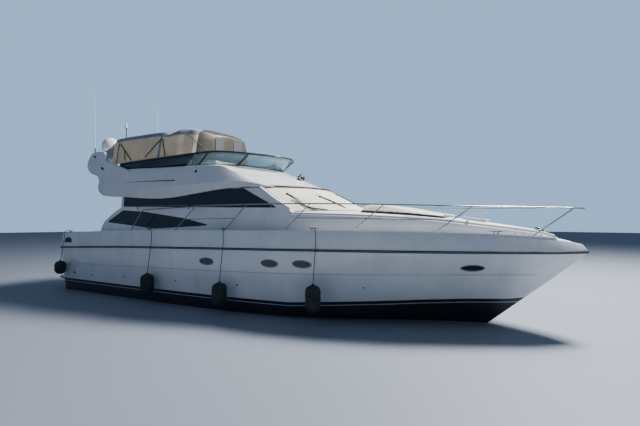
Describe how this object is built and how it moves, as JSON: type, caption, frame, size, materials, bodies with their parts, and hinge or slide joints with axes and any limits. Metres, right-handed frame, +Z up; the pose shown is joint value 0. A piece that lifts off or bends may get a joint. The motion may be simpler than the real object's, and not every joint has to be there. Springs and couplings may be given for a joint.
{
  "type": "motor yacht with flybridge",
  "caption": "Planing motor yacht with flybridge, canvas canopy, radar arch, cockpit, saloon, foredeck rail and twin shaft drives.",
  "frame": {"origin": "on the centreline at the waterline, amidships", "axes": "+X towards the bow, +Y to port, +Z up from the water"},
  "size_m": [16.37, 5.1295, 8.1662],
  "materials": {
    "gelcoat": "glossy gelcoat",
    "hull_gelcoat": "glossy gelcoat, dark paint below the waterline",
    "dark_rubber": "satin",
    "teak": "bare weathered teak",
    "veneer": "satin varnish",
    "steel": "polished",
    "bronze": "dull bronze",
    "engine_paint": "satin",
    "tinted_glass": "dark tinted",
    "clear_glass": "lightly tinted",
    "black_frame": "satin",
    "cream_canvas": "woven acrylic canvas",
    "canopy_canvas": "woven canvas with clear panels",
    "vinyl": "smooth marine vinyl",
    "antenna_white": "satin"
  },
  "bodies": {
    "root": {"hull": "hull_gelcoat", "rub_rail": "dark_rubber", "swim_platform": "gelcoat", "cockpit_sole": "teak", "saloon_sole": "veneer", "trunk_cabin": "gelcoat", "foredeck_sunpad": "cream_canvas", "saloon_aft_bulkhead": "gelcoat", "saloon_aft_window": "tinted_glass", "saloon_windscreen": "tinted_glass", "windscreen_cover": "cream_canvas", "flybridge_moulding": "gelcoat", "flybridge_screen_frame": "black_frame", "flybridge_screen_glass": "clear_glass", "radar_arch": "gelcoat", "satellite_dome": "antenna_white", "aerial_starboard": "antenna_white", "aerial_port": "antenna_white", "flybridge_console": "gelcoat", "helm_seat": "vinyl", "flybridge_settee": "vinyl", "flybridge_stair": "steel", "canopy": "canopy_canvas", "canopy_frame": "steel", "cockpit_bench": "vinyl", "saloon_settee": "vinyl", "saloon_cabinet": "veneer", "lower_helm": "veneer", "bow_rail": "steel", "windlass": "steel", "searchlight": "steel", "fender_quarter": "dark_rubber", "fender_aft": "dark_rubber", "fender_middle": "dark_rubber", "fender_forward": "dark_rubber", "engine_starboard": "engine_paint", "shaft_bracket_starboard": "bronze", "saloon_side_starboard": "gelcoat", "saloon_window_starboard": "tinted_glass", "aft_cabin_window_starboard": "tinted_glass", "toe_rail_starboard": "steel", "engine_port": "engine_paint", "shaft_bracket_port": "bronze", "saloon_side_port": "gelcoat", "saloon_window_port": "tinted_glass", "aft_cabin_window_port": "tinted_glass", "toe_rail_port": "steel"},
    "engine_hatch_lid": {"engine_hatch_lid": "teak"},
    "flybridge_wheel": {"flybridge_wheel": "black_frame"},
    "foredeck_hatch_lid": {"foredeck_hatch_lid": "tinted_glass"},
    "lower_wheel": {"lower_wheel": "black_frame"},
    "propeller_port": {"propeller_port": "bronze"},
    "propeller_starboard": {"propeller_starboard": "bronze"},
    "rudder_port": {"rudder_port": "bronze"},
    "rudder_starboard": {"rudder_starboard": "bronze"},
    "saloon_door": {"saloon_door": "tinted_glass"},
    "transom_door": {"transom_door": "gelcoat"},
    "trim_tab_port": {"trim_tab_port": "steel"},
    "trim_tab_starboard": {"trim_tab_starboard": "steel"}
  },
  "joints": [
    {"name": "propeller_starboard_turn", "type": "hinge", "parent": "root", "child": "propeller_starboard", "pos_m": [-6.75, -0.95, -0.86], "axis": [0.9848, 0, 0.1736], "continuous": true},
    {"name": "propeller_port_turn", "type": "hinge", "parent": "root", "child": "propeller_port", "pos_m": [-6.75, 0.95, -0.86], "axis": [0.9848, 0, 0.1736], "continuous": true},
    {"name": "rudder_starboard_turn", "type": "hinge", "parent": "root", "child": "rudder_starboard", "pos_m": [-7.15, -0.95, -0.64], "axis": [0, 0, 1], "range_deg": [-35, 35]},
    {"name": "rudder_port_turn", "type": "hinge", "parent": "root", "child": "rudder_port", "pos_m": [-7.15, 0.95, -0.64], "axis": [0, 0, 1], "range_deg": [-35, 35]},
    {"name": "flybridge_wheel_turn", "type": "hinge", "parent": "root", "child": "flybridge_wheel", "pos_m": [-2.29, -0.48, 4.01], "axis": [-0.8829, 0, 0.4695], "range_deg": [-721, 721]},
    {"name": "lower_wheel_turn", "type": "hinge", "parent": "root", "child": "lower_wheel", "pos_m": [0.905, -0.9, 2.39], "axis": [-0.866, 0, 0.5], "range_deg": [-721, 721]},
    {"name": "trim_tab_starboard_drop", "type": "hinge", "parent": "root", "child": "trim_tab_starboard", "pos_m": [-7.6003, -1.5, -0.33], "axis": [0, -1, 0], "range_deg": [0, 15]},
    {"name": "trim_tab_port_drop", "type": "hinge", "parent": "root", "child": "trim_tab_port", "pos_m": [-7.6003, 1.5, -0.33], "axis": [0, -1, 0], "range_deg": [0, 15]},
    {"name": "engine_hatch_open", "type": "hinge", "parent": "root", "child": "engine_hatch_lid", "pos_m": [-5.35, -0.1, 1.15], "axis": [0, 1, 0], "range_deg": [0, 80]},
    {"name": "transom_door_swing", "type": "hinge", "parent": "root", "child": "transom_door", "pos_m": [-7.052, 1.4545, 1.5], "axis": [0, 0, 1], "range_deg": [0, 95]},
    {"name": "saloon_door_slide", "type": "slide", "parent": "root", "child": "saloon_door", "axis": [0, 1, 0], "range_m": [0, 0.9]},
    {"name": "foredeck_hatch_open", "type": "hinge", "parent": "root", "child": "foredeck_hatch_lid", "pos_m": [5.4854, 0, 2.4481], "axis": [0, -1, 0], "range_deg": [0, 80]}
  ],
  "couplings": [
    {"joint": "rudder_port_turn", "follows": "rudder_starboard_turn", "ratio": 1},
    {"joint": "flybridge_wheel_turn", "follows": "rudder_starboard_turn", "ratio": -20.57},
    {"joint": "lower_wheel_turn", "follows": "rudder_starboard_turn", "ratio": -20.57}
  ]
}
